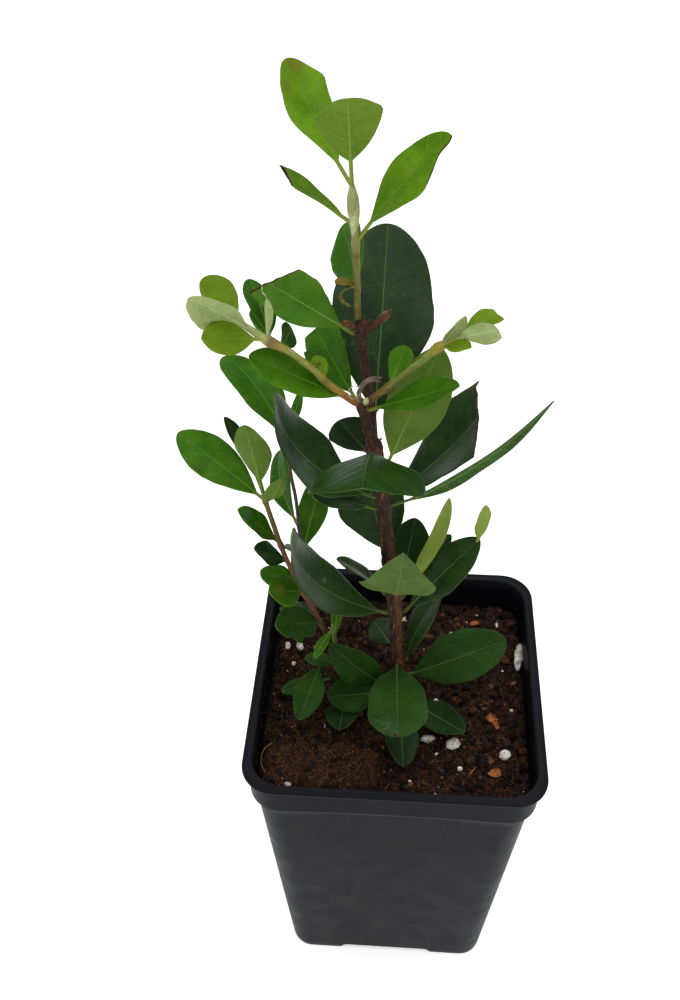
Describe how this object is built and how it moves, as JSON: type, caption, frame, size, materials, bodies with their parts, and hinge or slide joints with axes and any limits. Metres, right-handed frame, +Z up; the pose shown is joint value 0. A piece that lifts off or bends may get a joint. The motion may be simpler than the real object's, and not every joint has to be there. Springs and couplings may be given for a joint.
{
  "type": "potted feijoa shrub",
  "caption": "Young feijoa shrub with glossy oval leaves on a forked woody stem, in a square black nursery pot filled with soil.",
  "frame": {"origin": "centre of the pot's underside, on the ground", "axes": "+Z up along the trunk, -Y towards the front of the pot, +X to the right seen from the front"},
  "size_m": [0.1081, 0.09, 0.3075],
  "materials": {
    "black_plastic": "matt, slightly speckled",
    "soil": "rough, fibrous",
    "bark": "rough, scaly",
    "young_shoot": "satin",
    "woolly_shoot": "matt, hairy",
    "side_shoot": "satin",
    "dark_leaf": "glossy",
    "green_leaf": "satin",
    "pale_leaf": "matt"
  },
  "bodies": {
    "root": {"pot": "black_plastic", "potting_soil": "soil", "trunk": "bark", "leader_shoot": "young_shoot", "left_branch": "woolly_shoot", "right_branch": "woolly_shoot", "side_shoot": "side_shoot", "basal_shoot": "side_shoot", "upper_leaf_cut": "green_leaf", "fork_leaf_back": "green_leaf", "fork_leaf_right": "green_leaf", "knot_leaf_back": "dark_leaf", "knot_leaf_front": "dark_leaf", "high_leaf_right": "pale_leaf", "high_leaf_left": "dark_leaf", "mid_leaf_left": "dark_leaf", "mid_leaf_right": "dark_leaf", "mid_leaf_long": "green_leaf", "mid_leaf_small": "dark_leaf", "low_leaf_back": "dark_leaf", "low_leaf_front": "pale_leaf", "low_leaf_left": "dark_leaf", "low_leaf_left_small": "dark_leaf", "low_leaf_right": "dark_leaf", "low_leaf_upright": "dark_leaf", "low_leaf_pale": "pale_leaf", "low_leaf_behind": "dark_leaf", "foot_leaf_tall": "dark_leaf", "foot_leaf_back": "dark_leaf", "foot_leaf_left": "green_leaf", "foot_leaf_front": "green_leaf", "foot_leaf_right": "green_leaf", "foot_leaf_right_low": "dark_leaf", "foot_leaf_front_low": "dark_leaf", "foot_leaf_left_low": "green_leaf"}
  },
  "joints": []
}
